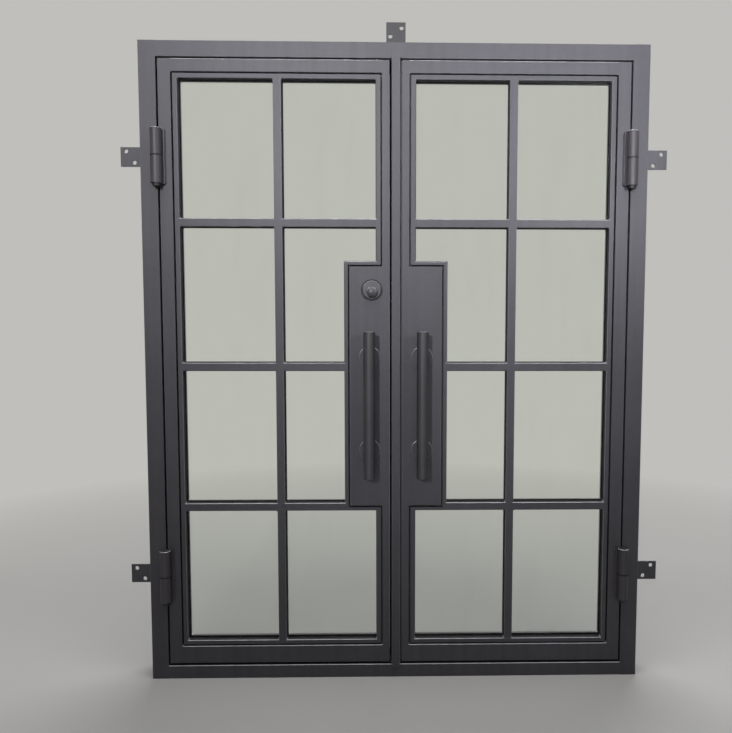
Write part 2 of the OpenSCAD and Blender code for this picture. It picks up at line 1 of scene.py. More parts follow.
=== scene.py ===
import bpy
import json
import math
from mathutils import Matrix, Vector


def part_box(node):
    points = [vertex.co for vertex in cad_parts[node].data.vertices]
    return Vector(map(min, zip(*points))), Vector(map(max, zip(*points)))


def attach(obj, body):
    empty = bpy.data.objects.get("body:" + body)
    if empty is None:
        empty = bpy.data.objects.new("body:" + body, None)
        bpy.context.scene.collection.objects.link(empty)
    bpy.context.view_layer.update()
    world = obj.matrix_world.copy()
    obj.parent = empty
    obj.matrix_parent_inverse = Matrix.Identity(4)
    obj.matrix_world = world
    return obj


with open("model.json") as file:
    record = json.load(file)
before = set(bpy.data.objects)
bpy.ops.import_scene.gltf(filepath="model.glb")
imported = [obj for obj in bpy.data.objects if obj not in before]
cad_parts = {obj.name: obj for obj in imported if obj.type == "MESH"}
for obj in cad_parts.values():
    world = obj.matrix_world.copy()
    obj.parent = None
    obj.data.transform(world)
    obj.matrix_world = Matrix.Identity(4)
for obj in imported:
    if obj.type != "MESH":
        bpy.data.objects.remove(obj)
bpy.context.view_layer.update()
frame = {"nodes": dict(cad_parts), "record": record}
scene = bpy.context.scene
print("loaded", len(frame["nodes"]), "nodes")


# small helpers for modelling by hand
def clearPick():
    if bpy.context.mode != "OBJECT":
        bpy.ops.object.mode_set(mode="OBJECT")
    bpy.ops.object.select_all(action="DESELECT")


def grab(piece):
    # this piece alone, selected and active
    clearPick()
    bpy.context.view_layer.objects.active = piece
    piece.select_set(True)


def fresh(name):
    piece = bpy.context.active_object
    piece.name = name
    piece.data.name = name
    return piece


def pick(piece, kind, test):
    # selects what passes the test and stays in edit mode
    grab(piece)
    bpy.ops.object.mode_set(mode="EDIT")
    bpy.ops.mesh.select_mode(type=kind)
    bpy.ops.mesh.select_all(action="DESELECT")
    bpy.ops.object.mode_set(mode="OBJECT")
    mesh = piece.data
    lists = {"FACE": mesh.polygons, "EDGE": mesh.edges, "VERT": mesh.vertices}
    for part in lists[kind]:
        part.select = bool(test(mesh, part))
    bpy.ops.object.mode_set(mode="EDIT")


def every(mesh, part):
    return True


def edgeMid(mesh, edge):
    a, b = (mesh.vertices[i].co for i in edge.vertices)
    return (a + b) / 2


def placeDone(piece):
    grab(piece)
    bpy.ops.object.transform_apply(location=True, rotation=True, scale=True)


def useModifier(piece, kind, **settings):
    grab(piece)
    modifier = piece.modifiers.new(kind.title(), kind)
    for key, value in settings.items():
        setattr(modifier, key, value)
    bpy.ops.object.modifier_apply(modifier=modifier.name)


def copyOf(piece, spot, turn=(0, 0, 0)):
    grab(piece)
    bpy.ops.object.duplicate(linked=False)
    twin = bpy.context.active_object
    twin.location = spot
    twin.rotation_euler = turn
    placeDone(twin)
    return twin


def joinAll(name, parts):
    clearPick()
    for part in parts:
        part.select_set(True)
    bpy.context.view_layer.objects.active = parts[0]
    bpy.ops.object.join()
    return fresh(name)


def discard(*pieces):
    clearPick()
    for piece in pieces:
        piece.select_set(True)
    bpy.ops.object.delete()


def tidyFaces(piece, merge=0.000001):
    pick(piece, "VERT", every)
    bpy.ops.mesh.remove_doubles(threshold=merge)
    bpy.ops.mesh.normals_make_consistent(inside=False)
    bpy.ops.object.mode_set(mode="OBJECT")


def softShade(piece, angle=35):
    grab(piece)
    bpy.ops.object.shade_smooth_by_angle(angle=math.radians(angle))


# shader maths
class Wire:
    # a socket; arithmetic on it adds Math nodes
    def __init__(self, tree, socket):
        self.tree = tree
        self.socket = socket

    def calc(self, kind, *others, first=True):
        node = self.tree.nodes.new("ShaderNodeMath")
        node.operation = kind
        values = [self, *others] if first else [*others, self]
        for slot, value in zip(node.inputs, values):
            if isinstance(value, Wire):
                self.tree.links.new(value.socket, slot)
            else:
                slot.default_value = value
        return Wire(self.tree, node.outputs[0])

    def __add__(self, other):
        return self.calc("ADD", other)

    def __sub__(self, other):
        return self.calc("SUBTRACT", other)

    def __mul__(self, other):
        return self.calc("MULTIPLY", other)

    def __truediv__(self, other):
        return self.calc("DIVIDE", other)

    def __radd__(self, other):
        return self.calc("ADD", other, first=False)

    def __rsub__(self, other):
        return self.calc("SUBTRACT", other, first=False)

    def __rmul__(self, other):
        return self.calc("MULTIPLY", other, first=False)

    def within(self, low=0.0, high=1.0):
        return self.calc("MAXIMUM", low).calc("MINIMUM", high)


class Shading:
    # a node tree with its output
    def __init__(self, tree, outKind):
        self.tree = tree
        tree.nodes.clear()
        self.out = tree.nodes.new(outKind)

    def node(self, kind, settings=None, result=0, **sockets):
        # a socket goes by its name, or by its number as n0, n1 and so on
        node = self.tree.nodes.new(kind)
        for key, value in (settings or {}).items():
            setattr(node, key, value)
        for key, value in sockets.items():
            numbered = key[0] == "n" and key[1:].isdigit()
            slot = node.inputs[int(key[1:]) if numbered else key.replace("_", " ")]
            if isinstance(value, Wire):
                self.tree.links.new(value.socket, slot)
            else:
                slot.default_value = value
        return Wire(self.tree, node.outputs[result])

    def seenOnly(self):
        # 1 for what the camera sees straight, in a mirror or through glass
        straight, mirrored, through = (
            self.node("ShaderNodeLightPath", result=ray)
            for ray in ("Is Camera Ray", "Is Glossy Ray", "Is Transmission Ray"))
        return (straight + mirrored + through).within()

    def show(self, shader):
        self.tree.links.new(shader.socket, self.out.inputs["Surface"])


# edges lighter as wear and as a painted highlight, strongest where they face up: flat is how near to an
# axis a face must point to be no edge, sharp how fast an edge begins
rubAndGleam = dict(flat=0.93, side=0.3, sharp=8.0, least=0.3, climb=1.6)


class Finish(Shading):
    # one material and its nodes
    def __init__(self, name):
        self.material = bpy.data.materials.new(name)
        self.material.use_nodes = True
        super().__init__(self.material.node_tree, "ShaderNodeOutputMaterial")

    def spots(self, scale=(1, 1, 1), turn=(0, 0, 0)):
        where = self.node("ShaderNodeTexCoord", result="Object")
        return self.node("ShaderNodeMapping", Vector=where, Scale=scale, Rotation=turn)

    def noise(self, where, scale, detail=3.0, rough=0.5):
        return self.node("ShaderNodeTexNoise", Vector=where, Scale=scale, Detail=detail, Roughness=rough)

    def blendTone(self, factor, a, b):
        a, b = (side if isinstance(side, Wire) else (*side, 1.0) for side in (a, b))
        return self.node("ShaderNodeMix", {"data_type": "RGBA"}, result=2, n0=factor, n6=a, n7=b)

    def bump(self, height, strength, distance, **under):
        return self.node("ShaderNodeBump", Height=height, Strength=strength, Distance=distance, **under)

    def axes(self, coordinates):
        vector = self.node("ShaderNodeTexCoord", result=coordinates)
        return [self.node("ShaderNodeSeparateXYZ", result=k, Vector=vector) for k in range(3)]

    def edges(self, axis=None):
        # the broken edges, whose normals lean between the axes, most where they face up, since they carry a
        # painted highlight of the light from above
        normal = self.axes("Normal")
        lean = [part.calc("ABSOLUTE") for part in normal]
        # painted highlight: edges that face up count for more than edges that face down
        facingUp = rubAndGleam["least"] + (normal[2] * rubAndGleam["climb"]).within() * (1 - rubAndGleam["least"])
        if axis is None:
            most = lean[0].calc("MAXIMUM", lean[1]).calc("MAXIMUM", lean[2])
            return ((rubAndGleam["flat"] - most) * rubAndGleam["sharp"]).within() * facingUp
        # on a round piece the rims at its ends alone
        offEnd = ((rubAndGleam["flat"] - lean[axis]) * rubAndGleam["sharp"]).within()
        offSide = ((lean[axis] - rubAndGleam["side"]) * rubAndGleam["sharp"]).within()
        return offEnd * offSide * facingUp

    def coat(self, **sockets):
        self.show(self.node("ShaderNodeBsdfPrincipled", **sockets))
        return self.material


def tone(r, g, b):
    # display values 0..255 to linear
    return tuple(((v / 255 + 0.055) / 1.055) ** 2.4 if v > 10 else v / 255 / 12.92 for v in (r, g, b))


# sprayed satin paint on steel
paint = dict(
    cloud=3.1, grain=46.0, streak=2.2, drawn=(18.0, 18.0, 0.7), speck=620.0, skin=330.0, waves=24.0,
    # the bright edge tone is bare steel and a painted highlight together
    dust=tone(150, 147, 146), bareAndGleam=tone(186, 184, 188), seamShade=tone(8, 8, 8), primer=tone(20, 20, 22),
    # how far the painted shade in each hinge joint reaches; its near black tone is on the line above
    seamShadeReach=0.002, barrelHalf=0.01, barrelEdge=400.0, topEdge=900.0, topBand=4.0, primerCover=0.95)
washerLo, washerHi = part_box("hinge_washers")
hingeBarrels = dict(seams=(washerLo.z, washerHi.z),
                    front=(washerLo.y + washerHi.y) / 2 + paint["barrelHalf"])


def satinPaint(name, dark, light, roughness, peel=0.12, axis=None, wearAndGleam=0.85, barrels=None, above=None):
    # cloudy tone, orange peel, faint streaks, dust, and edges lightened as wear and as a painted highlight
    f = Finish(name)
    spots = f.spots()
    cloud = f.noise(spots, paint["cloud"], 4.0, 0.55)
    grain = f.noise(spots, paint["grain"], 3.0, 0.6)
    streak = f.noise(f.spots(paint["drawn"]), paint["streak"])
    speck = f.noise(spots, paint["speck"], 2.0)
    shade = (cloud * 0.5 + streak * 0.3 + grain * 0.2 - 0.34) * 2.9
    body = f.blendTone(shade.within(), dark, light)
    dust = ((speck - 0.62) * 5.0).within() * (cloud * 1.4 - 0.35).within()
    body = f.blendTone(dust * 0.22, body, paint["dust"])
    # painted highlight: the edges are lightened where light from above would catch them, together with wear
    rubbedSheen = f.edges(axis) * (0.35 + streak * 1.1).within() * wearAndGleam
    if barrels:
        y, z = f.axes("Object")[1:]
        # the barrels stand before their plates
        ahead = ((barrels["front"] - y) * paint["barrelEdge"]).within()
        rubbedSheen = rubbedSheen * ahead
    if above:
        top = (f.axes("Object")[2] - above) * paint["topEdge"]
        rubbedSheen = rubbedSheen * (1.0 - (top + paint["topBand"]).within())  # no wear and no painted edge highlight along the top
    body = f.blendTone(rubbedSheen, body, paint["bareAndGleam"])  # the paint is thin and polished on the edges, and the lighter edges are also a painted highlight, strongest facing up
    gloss = roughness - 0.1 + cloud * 0.12 + grain * 0.08 + dust * 0.2 - rubbedSheen * 0.4
    if barrels:
        low, high = ((1.5 - (z - seam).calc("ABSOLUTE") / paint["seamShadeReach"]).within()
                     for seam in barrels["seams"])
        seamShade = low.calc("MAXIMUM", high) * ahead  # painted shade: a dark band along each joint between the knuckles of a hinge
        body = f.blendTone(seamShade, body, paint["seamShade"])
        gloss = gloss + seamShade * 0.6
    if above:
        # thin and dark, on the top tab
        body = f.blendTone(top.within() * paint["primerCover"], body, paint["primer"])
    skin = f.noise(spots, paint["skin"], 2.0, 0.45)
    waves = f.noise(spots, paint["waves"], 2.0, 0.4)
    normal = f.bump(skin, peel, 0.0012, Normal=f.bump(waves, 0.012, 0.004))
    return f.coat(Base_Color=body, Roughness=gloss.within(0.2, 1.0), Metallic=0.0, IOR=1.5, Normal=normal,
                  Coat_Weight=0.03, Coat_Roughness=0.3, Specular_IOR_Level=0.38)


# fine matt powder coat of the pulls
powder = dict(dark=tone(34, 33, 35), light=tone(53, 51, 54), handledAndGleam=tone(128, 126, 128),
              pebble=900.0, cloud=14.0, rubbedSheen=3.0, drawn=(60.0, 60.0, 3.0))


def powderCoat(name):
    f = Finish(name)
    spots = f.spots()
    pebble = f.noise(spots, powder["pebble"], 2.0, 0.6)
    cloud = f.noise(spots, powder["cloud"])
    rubbedSheen = f.noise(f.spots(powder["drawn"]), powder["rubbedSheen"], 2.0)
    body = f.blendTone((cloud * 0.7 + pebble * 0.5 - 0.25).within(), powder["dark"], powder["light"])
    body = f.blendTone(f.edges(axis=2) * 0.4, body, powder["handledAndGleam"])  # the end rims lighter as wear and as a painted highlight, strongest on the upper rims
    gloss = (0.42 + cloud * 0.14 - rubbedSheen * 0.1 + pebble * 0.06).within(0.2, 0.9)
    return f.coat(Base_Color=body, Roughness=gloss, Metallic=0.0, IOR=1.5,
                  Normal=f.bump(pebble, 0.22, 0.0006))


# brushed steel of the plates, screws and bolts
brushed = dict(dark=tone(128, 126, 124), light=tone(176, 175, 173), drawn=(2.0, 2.0, 900.0), cloud=30.0)


def brushedSteel(name):
    f = Finish(name)
    lines = f.noise(f.spots(brushed["drawn"]), 1.0, 4.0, 0.6)
    cloud = f.noise(f.spots(), brushed["cloud"])
    body = f.blendTone((lines * 0.6 + cloud * 0.4).within(), brushed["dark"], brushed["light"])
    gloss = (0.26 + lines * 0.16 + cloud * 0.1).within(0.1, 0.8)
    return f.coat(Base_Color=body, Roughness=gloss, Metallic=1.0, Normal=f.bump(lines, 0.08, 0.0004))


# oiled black oxide on the hinge pins and washers
oxide = dict(dark=tone(13, 13, 14), light=tone(26, 26, 27), turned=(3.0, 3.0, 700.0), cloud=70.0)


def blackSteel(name):
    f = Finish(name)
    cloud = f.noise(f.spots(), oxide["cloud"])
    turned = f.noise(f.spots(oxide["turned"]), 1.0)
    body = f.blendTone((cloud * 0.7 + turned * 0.5 - 0.2).within(), oxide["dark"], oxide["light"])
    return f.coat(Base_Color=body, Roughness=(0.42 + cloud * 0.2).within(), Metallic=0.2,
                  Normal=f.bump(turned, 0.1, 0.0004))


# black rubber of the seals and gaskets
rubber = dict(dark=tone(16, 16, 17), light=tone(34, 34, 35), cloud=60.0, grain=800.0)


def sealRubber(name):
    f = Finish(name)
    spots = f.spots()
    cloud = f.noise(spots, rubber["cloud"], 3.0, 0.55)
    grain = f.noise(spots, rubber["grain"], 2.0)
    body = f.blendTone((cloud * 1.2 - 0.2).within(), rubber["dark"], rubber["light"])
    return f.coat(Base_Color=body, Roughness=(0.55 + cloud * 0.25).within(), Metallic=0.0,
                  Normal=f.bump(grain, 0.2, 0.0005))


# float glass with a thin film of dust and wiped smears
paneFilm = dict(clean=tone(251, 253, 250), filmed=tone(244, 246, 242), smear=2.4, wipe=3.0,
                hung=(3.0, 3.0, 0.8), wiped=(9.0, 9.0, 1.4), slant=(0, 0.5, 0))


def clearGlass(name):
    f = Finish(name)
    smear = f.noise(f.spots(paneFilm["hung"]), paneFilm["smear"], 5.0, 0.6)
    wipe = f.noise(f.spots(paneFilm["wiped"], paneFilm["slant"]), paneFilm["wipe"], 4.0, 0.6)
    film = ((smear * 0.6 + wipe * 0.4 - 0.5) * 3.0).within()
    body = f.blendTone(film * 0.5, paneFilm["clean"], paneFilm["filmed"])
    return f.coat(Base_Color=body, Roughness=(film * 0.03).within(0.0, 0.2), Metallic=0.0, IOR=1.45,
                  Transmission_Weight=1.0)


# dark alloy of the glass spacers
alloy = dict(dark=tone(44, 44, 45), light=tone(66, 66, 67), grain=(40.0, 40.0, 40.0), lines=4.0)


def darkAlloy(name):
    f = Finish(name)
    lines = f.noise(f.spots(alloy["grain"]), alloy["lines"])
    body = f.blendTone(lines, alloy["dark"], alloy["light"])
    return f.coat(Base_Color=body, Roughness=(0.35 + lines * 0.2).within(), Metallic=1.0,
                  Normal=f.bump(lines, 0.05, 0.0004))


finishes = {
    "frame_paint": satinPaint("framePaint", tone(46, 45, 49), tone(63, 62, 67), 0.54,
                              above=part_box("head")[1].z),
    "leaf_paint": satinPaint("leafPaint", tone(46, 45, 49), tone(63, 62, 67), 0.54),
    "hinge_paint": satinPaint("hingePaint", tone(45, 43, 46), tone(62, 59, 63), 0.5, peel=0.1,
                              axis=2, barrels=hingeBarrels),
    "lock_paint": satinPaint("lockPaint", tone(44, 43, 46), tone(60, 58, 62), 0.4, peel=0.08,
                             axis=1, wearAndGleam=0.4),
    "pin_black": blackSteel("pinBlack"),
    "pull_black": powderCoat("pullBlack"),
    "steel": brushedSteel("steelPlain"),
    "rubber": sealRubber("sealRubber"),
    "glass": clearGlass("paneGlass"),
    "spacer": darkAlloy("spacerAlloy"),
}
for part in frame["record"]["subparts"]:
    node = frame["nodes"][part["node"]]
    node.data.materials.clear()
    node.data.materials.append(finishes[part["material_slot"]])
print("finishes on", len(frame["nodes"]), "nodes")


def dress(piece, body, slotName):
    piece.data.materials.clear()
    piece.data.materials.append(finishes[slotName])
    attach(piece, body)


# the glazing bars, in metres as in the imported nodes
bars = dict(strip=0.014, lockStrip=0.011, muntin=0.026, groove=0.006, rows=4)
gridLo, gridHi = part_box("left_front_grid")
glassLo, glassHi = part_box("left_glass")


def paneList(side):
    # each pane of a leaf: its two x, its two z, and the corner where the lock panel cuts into it
    left = side == "left"
    lo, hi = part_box(side + "_front_grid")
    boxLo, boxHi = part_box(side + "_lock_panel")
    z0, z1 = lo.z + bars["strip"], hi.z - bars["strip"]
    x0, x1 = lo.x + bars["strip"], hi.x - bars["strip"]
    mid, half = (x0 + x1) / 2, bars["muntin"] / 2
    outer, inner = (x0, mid - half), (mid + half, x1)
    if not left:
        outer, inner = inner, outer
    high = (z1 - z0 - (bars["rows"] - 1) * bars["muntin"]) / bars["rows"]
    reach = bars["groove"] + bars["lockStrip"]
    lockEdge = boxLo.x - reach if left else boxHi.x + reach
    lockTop = boxHi.z + reach
    beside = (inner[0], lockEdge) if left else (lockEdge, inner[1])
    panes = []
    for row in range(bars["rows"]):
        za = z0 + row * (high + bars["muntin"])
        zb = za + high
        panes.append((*outer, za, zb, None))
        if row in (0, bars["rows"] - 1):
            panes.append((*inner, za, zb, None))
        elif zb > lockTop:
            panes.append((*inner, za, zb, (lockEdge, lockTop)))
        else:
            panes.append((*beside, za, zb, None))
    return panes


# glazing gaskets round the panes
gasket = dict(width=0.0024, height=0.0026, edge=0.0009, merge=0.00001)


def gasketRing(xa, xb, za, zb, cut, y, side):
    # one closed ring on the glass: plane, corner cut away for the lock panel, inset, middle out
    def taken(mesh, face):
        beyond = face.center.x > cut[0] if side == "left" else face.center.x < cut[0]
        return beyond and face.center.z < cut[1]

    clearPick()
    bpy.ops.mesh.primitive_plane_add(size=1, location=((xa + xb) / 2, y, (za + zb) / 2),
                                     rotation=(math.radians(90), 0, 0))
    ring = fresh("ring")
    ring.scale = (xb - xa, zb - za, 1)
    placeDone(ring)
    if cut:
        pick(ring, "FACE", every)
        bpy.ops.mesh.bisect(plane_co=(cut[0], y, 0), plane_no=(1, 0, 0))
        bpy.ops.mesh.select_all(action="SELECT")
        bpy.ops.mesh.bisect(plane_co=(0, y, cut[1]), plane_no=(0, 0, 1))
        bpy.ops.object.mode_set(mode="OBJECT")
        pick(ring, "FACE", taken)
        bpy.ops.mesh.delete(type="FACE")
        bpy.ops.mesh.select_all(action="SELECT")
        bpy.ops.mesh.dissolve_limited(angle_limit=math.radians(2))
        bpy.ops.object.mode_set(mode="OBJECT")
    pick(ring, "FACE", every)
    bpy.ops.mesh.inset(thickness=gasket["width"], use_even_offset=True, use_boundary=True)
    bpy.ops.mesh.delete(type="FACE")  # inset leaves the middle selected
    bpy.ops.object.mode_set(mode="OBJECT")
    return ring


def glazingGasket(side, face):
    y = glassLo.y if face == "front" else glassHi.y
    rings = [gasketRing(*pane, y, side) for pane in paneList(side)]
    piece = joinAll(f"{side}_{face}_gasket", rings)
    tidyFaces(piece, gasket["merge"])
    # the rings stand out from the glass on the room side of this face
    facing = piece.data.polygons[0].normal.y
    outward = -1 if face == "front" else 1
    useModifier(piece, "SOLIDIFY", thickness=gasket["height"], offset=1 if facing * outward > 0 else -1)
    useModifier(piece, "BEVEL", width=gasket["edge"], segments=2, limit_method="ANGLE")
    tidyFaces(piece)
    softShade(piece)
    dress(piece, side + "_leaf", "rubber")


for side in ("left", "right"):
    for face in ("front", "rear"):
        glazingGasket(side, face)
print("gaskets made")


# weld fills in the inner corners of the glazing bars and of the leaf tubes
fill = dict(size=0.0042, back=0.0029, shy=0.0019, hollow=0.92, curve=0.14)


def cornerFill():
    # a post with one edge hollowed, in the corner at the origin
    def farEdge(mesh, edge):
        spot = edgeMid(mesh, edge)
        return min(spot.x, spot.z) > fill["size"] * 0.9

    depth = gridHi.y - gridLo.y - fill["back"] - fill["shy"]
    clearPick()
    bpy.ops.mesh.primitive_cube_add(size=1, location=(fill["size"] / 2, 0, fill["size"] / 2))
    post = fresh("cornerFill")
    post.scale = (fill["size"], depth, fill["size"])
    placeDone(post)
    pick(post, "EDGE", farEdge)
    bpy.ops.mesh.bevel(offset=fill["size"] * fill["hollow"], segments=5, profile=fill["curve"])
    bpy.ops.object.mode_set(mode="OBJECT")
    return post


def fourCorners(xa, xb, za, zb):
    return [(xa, za, 0), (xa, zb, 90), (xb, zb, 180), (xb, za, 270)]


def paneCorners(side):
    spots = []
    for xa, xb, za, zb, cut in paneList(side):
        corners = fourCorners(xa, xb, za, zb)
        if cut and side == "left":
            corners[3:] = [(xb, cut[1], 270), (cut[0], za, 270)]
        if cut and side == "right":
            corners[0] = (xa, cut[1], 0)
            corners.append((cut[0], za, 0))
        spots += corners
    return spots


def tubeCorners(side):
    # in the shadow groove
    lo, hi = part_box(side + "_front_grid")
    out = bars["groove"]
    return fourCorners(lo.x - out, hi.x + out, lo.z - out, hi.z + out)


def cornerFills(name, side, face, spots):
    master = cornerFill()
    front = (gridLo.y + fill["shy"] + gridHi.y - fill["back"]) / 2
    y = front if face == "front" else -front
    made = [copyOf(master, (x, y, z), (0, math.radians(turn), 0)) for x, z, turn in spots]
    discard(master)
    piece = joinAll(f"{side}_{face}_{name}", made)
    tidyFaces(piece)
    softShade(piece, 50)
    dress(piece, side + "_leaf", "leaf_paint")


for side in ("left", "right"):
    for face in ("front", "rear"):
        cornerFills("corner_fills", side, face, paneCorners(side))
        cornerFills("tube_corners", side, face, tubeCorners(side))
print("corner fills made")


# weld beads along the hinge plates
bead = dict(radius=0.0032, pitch=0.0034, segments=12, rings=8, squat=0.95, lean=-24, ends=0.005,
            hingeTall=0.174, strapBead=0.076, strapGap=0.006, strapWide=0.014)


def weldBead(length):
    # one flattened drop, leaned back, repeated up the seam
    clearPick()
    bpy.ops.mesh.primitive_uv_sphere_add(segments=bead["segments"], ring_count=bead["rings"],
                                         radius=bead["radius"])
    drop = fresh("weldDrop")
    drop.scale = (1.0, 1.0, bead["squat"])
    drop.rotation_euler = (math.radians(bead["lean"]), 0, 0)
    placeDone(drop)
    useModifier(drop, "ARRAY", count=int(length / bead["pitch"]), use_relative_offset=False,
                use_constant_offset=True, constant_offset_displace=(0, 0, bead["pitch"]))
    return drop


def beadPair(name, body, length, x, y, feet):
    master = weldBead(length)
    parts = [copyOf(master, (x, y, z + bead["ends"])) for z in feet]
    piece = joinAll(name, parts)
    softShade(piece, 60)
    dress(piece, body, "hinge_paint")
    discard(master)


def hingeBeads():
    strapOut = bead["strapGap"] + bead["strapWide"]
    for side in ("left", "right"):
        leafLo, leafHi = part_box(side + "_leaf_knuckles")
        stileLo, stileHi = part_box(side + "_hinge_stile")
        plateX = leafHi.x if side == "left" else leafLo.x
        strapX = stileLo.x - strapOut if side == "left" else stileHi.x + strapOut
        feet = (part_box(side + "_jamb_knuckles")[0].z, leafHi.z - bead["hingeTall"])  # of the two hinges
        plateBead = bead["hingeTall"] - 2 * bead["ends"]
        beadPair(f"{side}_leaf_welds", side + "_leaf", plateBead, plateX, stileLo.y, feet)
        beadPair(f"{side}_jamb_welds", "frame", bead["strapBead"], strapX, stileLo.y, feet)


hingeBeads()
print("hinge welds made")


# cross-head screws of the plates
screw = dict(radius=0.0042, depth=0.0012, rim=0.0005, crown=0.0002, slot=0.0011, arm=0.0050, sink=0.0008)
plates = dict(proud=0.0001, faceEnd=0.009, strikeEnd=0.010, keepSide=0.0125, keepThick=0.002)


def crossScrew():
    # head facing +Z with its rim at the origin
    clearPick()
    bpy.ops.mesh.primitive_cylinder_add(vertices=32, radius=screw["radius"], depth=screw["depth"],
                                        location=(0, 0, -screw["depth"] / 2))
    head = fresh("screwHead")
    pick(head, "FACE", lambda mesh, p: p.normal.z > 0.9)
    bpy.ops.mesh.inset(thickness=screw["rim"])
    bpy.ops.transform.translate(value=(0, 0, screw["crown"]))
    bpy.ops.object.mode_set(mode="OBJECT")
    for turn in (0, 90):
        clearPick()
        bpy.ops.mesh.primitive_cube_add(size=1, location=(0, 0, 0))
        arm = fresh("arm")
        arm.scale = (screw["arm"], screw["slot"], screw["sink"] * 2)
        arm.rotation_euler = (0, 0, math.radians(turn))
        placeDone(arm)
        useModifier(head, "BOOLEAN", operation="DIFFERENCE", object=arm, solver="EXACT")
        discard(arm)
    return head


def plateScrews():
    master = crossScrew()
    quarter = math.radians(90)
    faceLo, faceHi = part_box("face_plate")
    strikeLo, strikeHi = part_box("strike_plate")
    keepLo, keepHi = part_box("bolt_keeps")
    faceX, faceEnd = faceHi.x + plates["proud"], plates["faceEnd"]
    strikeX, strikeEnd = strikeLo.x - plates["proud"], plates["strikeEnd"]
    keepIn, keepX = plates["keepThick"] + plates["proud"], (-plates["keepSide"], plates["keepSide"])
    sets = [
        ("face_plate_screws", "left_leaf",
         [((faceX, 0, z), (0, quarter, 0)) for z in (faceLo.z + faceEnd, faceHi.z - faceEnd)]),
        ("strike_screws", "right_leaf",
         [((strikeX, 0, z), (0, -quarter, 0)) for z in (strikeLo.z + strikeEnd, strikeHi.z - strikeEnd)]),
        ("keep_screws", "frame",
         [((x, 0, keepHi.z - keepIn), (2 * quarter, 0, 0)) for x in keepX]
         + [((x, 0, keepLo.z + keepIn), (0, 0, 0)) for x in keepX]),
    ]
    for name, body, spots in sets:
        piece = joinAll(name, [copyOf(master, spot, turn) for spot, turn in spots])
        softShade(piece, 30)
        dress(piece, body, "steel")
    discard(master)


plateScrews()
print("screws made")


# painted shade: a black ring on the low rim of the thumbturn rose, darkening the recess round it
roseShade = dict(rim=0.0042, rise=0.003, thick=0.0014, back=0.0003)


def roseShadeRing():
    lo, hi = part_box("turn_rose")
    centre = (lo + hi) / 2
    rimY = hi.y - roseShade["rise"]
    backY = rimY + roseShade["back"]
    half = roseShade["rim"] / 2
    clearPick()
    bpy.ops.mesh.primitive_torus_add(
        major_radius=(hi.x - lo.x) / 2 - half, minor_radius=half, major_segments=96, minor_segments=16,
        location=(centre.x, rimY, centre.z), rotation=(math.radians(90), 0, 0))
    ring = fresh("rose_shade_ring")
    placeDone(ring)
    # pressed flat against the rim, round in front
    pick(ring, "VERT", every)
    bpy.ops.transform.resize(value=(1, roseShade["thick"] / half, 1),
                             center_override=(centre.x, rimY, centre.z))
    bpy.ops.object.mode_set(mode="OBJECT")
    pick(ring, "VERT", lambda mesh, v: v.co.y > backY)
    bpy.ops.transform.resize(value=(1, 0, 1), center_override=(centre.x, backY, centre.z))
    bpy.ops.object.mode_set(mode="OBJECT")
    softShade(ring)
    dress(ring, "left_leaf", "rubber")


roseShadeRing()
print("rose ring made")


# bulb seal on the meeting bar, against the edge of the left leaf
bulb = dict(deep=0.008, back=0.020, shy=0.0003, ends=0.003, round=0.0026, clip=0.0012)


def meetingSeal():
    barLo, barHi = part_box("meeting_bar")
    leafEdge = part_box("left_meeting_stile")[1].x
    reach = barLo.x - leafEdge - bulb["shy"]
    tall = barHi.z - barLo.z - 2 * bulb["ends"]
    mid = (barLo.z + barHi.z) / 2

    def noseEdge(mesh, edge):
        # the two long edges away from the bar
        spot = edgeMid(mesh, edge)
        return spot.x < barLo.x - reach * 0.9 and abs(spot.z - mid) < tall / 4

    clearPick()
    bpy.ops.mesh.primitive_cube_add(size=1, location=(barLo.x - reach / 2, bulb["back"], mid))
    strip = fresh("meeting_seal")
    strip.scale = (reach, bulb["deep"], tall)
    placeDone(strip)
    pick(strip, "EDGE", noseEdge)
    bpy.ops.mesh.bevel(offset=bulb["round"], segments=5, profile=0.5)
    bpy.ops.object.mode_set(mode="OBJECT")
    # the back of the seal is hollow where it meets the bar
    pick(strip, "FACE", lambda mesh, p: p.normal.x > 0.9)
    bpy.ops.mesh.extrude_region_move(TRANSFORM_OT_translate={"value": (-bulb["clip"], 0, 0)})
    bpy.ops.object.mode_set(mode="OBJECT")
    tidyFaces(strip)
    softShade(strip, 40)
    dress(strip, "right_leaf", "rubber")


meetingSeal()
print("meeting seal made")


# grub screws in the pull posts
grub = dict(radius=0.0031, depth=0.0016, socket=0.0016, sunk=0.6, proud=0.25,
            post=0.155, under=0.008, along=0.009)


def grubScrew(x, y, z):
    clearPick()
    bpy.ops.mesh.primitive_cylinder_add(vertices=24, radius=grub["radius"], depth=grub["depth"],
                                        location=(x, y, z), rotation=(math.radians(180), 0, 0))
    pin = fresh("grub")
    placeDone(pin)
    pick(pin, "FACE", lambda mesh, p: p.normal.z < -0.9)
    bpy.ops.mesh.inset(thickness=grub["radius"] - grub["socket"])
    bpy.ops.mesh.extrude_region_move(TRANSFORM_OT_translate={"value": (0, 0, grub["depth"] * grub["sunk"])})
    bpy.ops.object.mode_set(mode="OBJECT")
    return pin


def pullGrubs(side, face):
    lo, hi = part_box(f"{side}_{face}_pull")
    x, mid = (lo.x + hi.x) / 2, (lo.z + hi.z) / 2
    y = hi.y - grub["along"] if face == "front" else lo.y + grub["along"]
    drop = grub["under"] - grub["depth"] * grub["proud"]
    parts = [grubScrew(x, y, mid + k * grub["post"] - drop) for k in (-1, 1)]
    piece = joinAll(f"{side}_{face}_grubs", parts)
    tidyFaces(piece)
    softShade(piece, 30)
    dress(piece, side + "_leaf", "steel")


for side in ("left", "right"):
    for face in ("front", "rear"):
        pullGrubs(side, face)
print("grub screws made")


